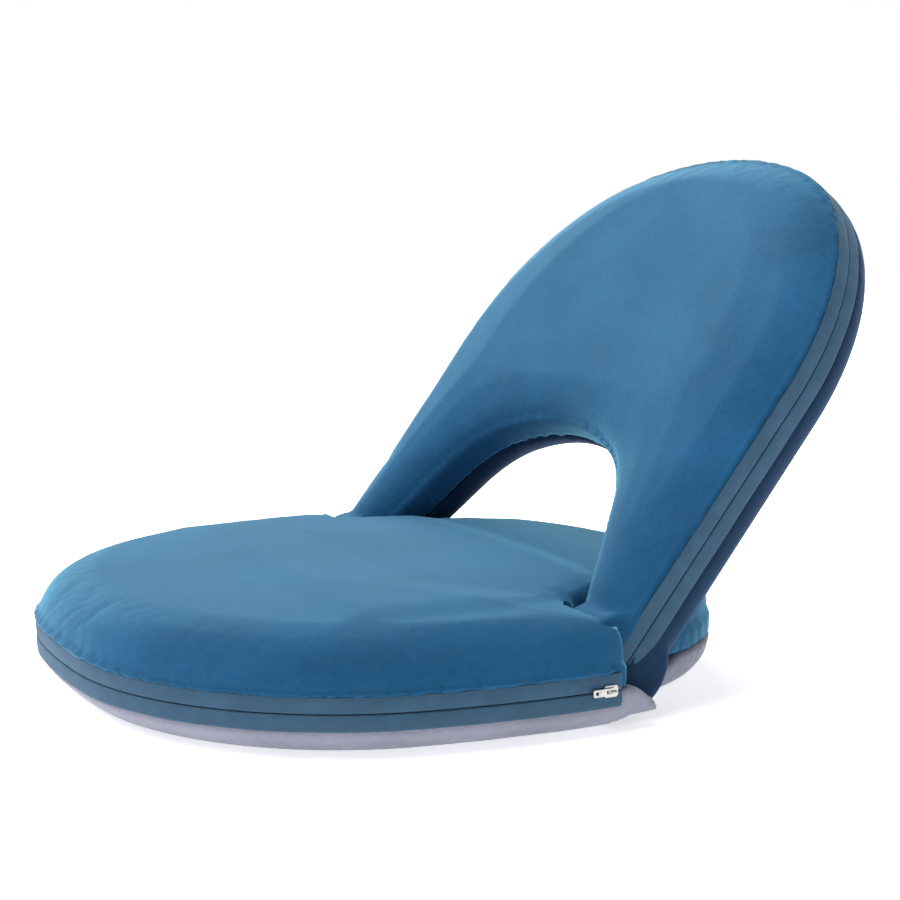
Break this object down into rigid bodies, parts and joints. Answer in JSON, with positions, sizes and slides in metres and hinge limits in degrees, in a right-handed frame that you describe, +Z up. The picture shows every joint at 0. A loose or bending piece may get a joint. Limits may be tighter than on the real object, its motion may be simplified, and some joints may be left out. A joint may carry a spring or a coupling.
{
  "type": "folding floor chair",
  "caption": "Folding floor chair with a round padded seat whose rear runs through the arch of an egg-shaped padded back that reclines on ratchet hinges.",
  "frame": {"origin": "floor level on the middle plane, straight below the fold axis", "axes": "+Z up, the person sits facing -Y with the left hand towards +X"},
  "size_m": [0.5246, 0.6221, 0.3971],
  "materials": {
    "velvet": "short-pile velvet",
    "rear_velvet": "dark brushed cloth",
    "nylon": "matt woven nylon",
    "foam": "open-cell foam",
    "webbing": "woven support cloth",
    "zipper_tape": "woven tape",
    "zipper_coil": "satin nylon",
    "slider_zinc": "plated zinc",
    "frame_steel": "powder coat",
    "hinge_steel": "zinc plated",
    "spring_steel": "blued spring steel",
    "nylon_bush": "moulded nylon"
  },
  "bodies": {
    "seat": {"seat_frame_tube": "frame_steel", "seat_cross_tube": "frame_steel", "seat_support_sheet": "webbing", "seat_foam": "foam", "seat_base_pad": "foam", "seat_top_cover": "velvet", "seat_bottom_cover": "nylon", "seat_zipper_tape_upper": "zipper_tape", "seat_zipper_tape_lower": "zipper_tape", "seat_zipper_coil": "zipper_coil", "seat_zipper_stops": "slider_zinc", "left_seat_bracket": "hinge_steel", "left_hinge_pin": "hinge_steel", "left_ratchet_wheel": "hinge_steel", "left_pin_washer": "hinge_steel", "left_hinge_spacer": "nylon_bush", "right_seat_bracket": "hinge_steel", "right_hinge_pin": "hinge_steel", "right_ratchet_wheel": "hinge_steel", "right_pin_washer": "hinge_steel", "right_hinge_spacer": "nylon_bush"},
    "back": {"back_frame_tube": "frame_steel", "back_cross_tube": "frame_steel", "back_support_sheet": "webbing", "back_foam": "foam", "back_rear_pad": "foam", "back_front_cover": "velvet", "back_rear_cover": "rear_velvet", "back_zipper_tape_front": "zipper_tape", "back_zipper_tape_rear": "zipper_tape", "back_zipper_coil": "zipper_coil", "back_zipper_stops": "slider_zinc", "left_inner_arm_plate": "hinge_steel", "left_outer_arm_plate": "hinge_steel", "left_hinge_bushes": "nylon_bush", "left_arm_rivets": "hinge_steel", "left_pawl_pin": "hinge_steel", "left_spring_post": "hinge_steel", "left_pawl_spring": "spring_steel", "right_inner_arm_plate": "hinge_steel", "right_outer_arm_plate": "hinge_steel", "right_hinge_bushes": "nylon_bush", "right_arm_rivets": "hinge_steel", "right_pawl_pin": "hinge_steel", "right_spring_post": "hinge_steel", "right_pawl_spring": "spring_steel"},
    "left_pawl": {"left_pawl": "hinge_steel"},
    "right_pawl": {"right_pawl": "hinge_steel"},
    "seat_slider": {"seat_zipper_slider": "slider_zinc"},
    "seat_pull": {"seat_zipper_pull": "slider_zinc"},
    "back_slider": {"back_zipper_slider": "slider_zinc"},
    "back_pull": {"back_zipper_pull": "slider_zinc"}
  },
  "joints": [
    {"name": "fold", "type": "hinge", "parent": "seat", "child": "back", "pos_m": [0, 0, 0.043], "axis": [1, 0, 0], "range_deg": [-30, 105], "deforming": ["seat_foam", "seat_top_cover", "back_foam", "back_front_cover"]},
    {"name": "left_pawl_lift", "type": "hinge", "parent": "back", "child": "left_pawl", "pos_m": [0.2019, 0.01934, 0.06466], "axis": [1, 0, 0], "range_deg": [0, 7], "stiffness_Nm_per_rad": 0.2, "springref_deg": -5.73, "deforming": ["left_pawl_spring"]},
    {"name": "right_pawl_lift", "type": "hinge", "parent": "back", "child": "right_pawl", "pos_m": [-0.2019, 0.01934, 0.06466], "axis": [1, 0, 0], "range_deg": [0, 7], "stiffness_Nm_per_rad": 0.2, "springref_deg": -5.73, "deforming": ["right_pawl_spring"]},
    {"name": "seat_slider_run", "type": "hinge", "parent": "seat", "child": "seat_slider", "pos_m": [-0.365, -0.04, 0.032], "axis": [0, 0, 1], "range_deg": [-11.5, 0]},
    {"name": "seat_pull_swing", "type": "hinge", "parent": "seat_slider", "child": "seat_pull", "pos_m": [0.26235, -0.02394, 0.032], "axis": [0, 0, 1], "range_deg": [0, 150]},
    {"name": "back_slider_run", "type": "slide", "parent": "back", "child": "back_slider", "axis": [-0.0266, 0.6085, 0.7931], "range_m": [0, 0.19]},
    {"name": "back_pull_swing", "type": "hinge", "parent": "back_slider", "child": "back_pull", "pos_m": [-0.24318, 0.01426, 0.06159], "axis": [0, 0.7934, -0.6088], "range_deg": [0, 150]}
  ]
}
